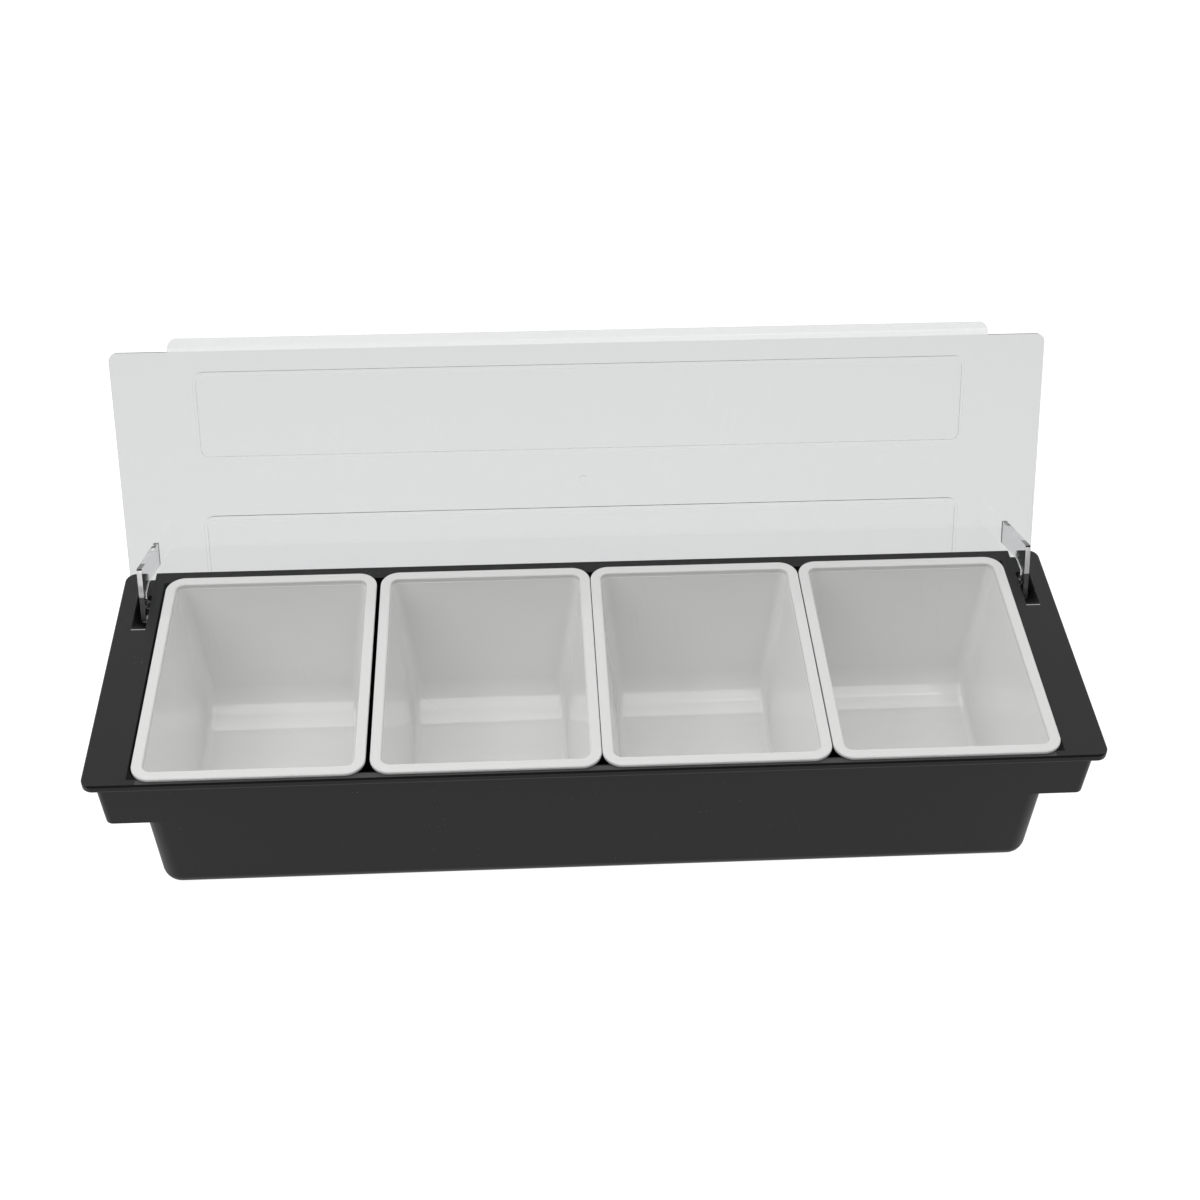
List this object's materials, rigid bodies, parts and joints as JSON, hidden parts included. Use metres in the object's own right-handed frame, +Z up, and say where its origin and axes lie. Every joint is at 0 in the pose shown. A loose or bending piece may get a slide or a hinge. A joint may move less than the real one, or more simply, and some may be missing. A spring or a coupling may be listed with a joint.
{
  "type": "condiment caddy",
  "caption": "Long dark plastic tray holding white lift-out food inserts side by side, under a one-piece clear lid that swings back on side ears.",
  "frame": {"origin": "on the tray's flat sole, midway between the tray rim's two ends and between its front and back edges", "axes": "+X along the tray to the right as seen from its front, +Y from the front to the hinge side, +Z up"},
  "size_m": [0.507, 0.2295, 0.1899],
  "materials": {
    "tray_plastic": "satin black moulded plastic",
    "clear_plastic": "clear moulded plastic",
    "insert_plastic": "white moulded plastic, soft gloss"
  },
  "bodies": {
    "tray": {"tray": "tray_plastic"},
    "lid": {"lid": "clear_plastic"},
    "insert_1": {"insert_1": "insert_plastic"},
    "insert_2": {"insert_2": "insert_plastic"},
    "insert_3": {"insert_3": "insert_plastic"},
    "insert_4": {"insert_4": "insert_plastic"}
  },
  "joints": [
    {"name": "lid_hinge", "type": "hinge", "parent": "tray", "child": "lid", "pos_m": [0, 0.0558, 0.084], "axis": [1, 0, 0], "range_deg": [0, 113.5]},
    {"name": "insert_1_lift", "type": "slide", "parent": "tray", "child": "insert_1", "axis": [0, 0, -1], "range_m": [-0.11, 0]},
    {"name": "insert_2_lift", "type": "slide", "parent": "tray", "child": "insert_2", "axis": [0, 0, -1], "range_m": [-0.11, 0]},
    {"name": "insert_3_lift", "type": "slide", "parent": "tray", "child": "insert_3", "axis": [0, 0, -1], "range_m": [-0.11, 0]},
    {"name": "insert_4_lift", "type": "slide", "parent": "tray", "child": "insert_4", "axis": [0, 0, -1], "range_m": [-0.11, 0]}
  ]
}
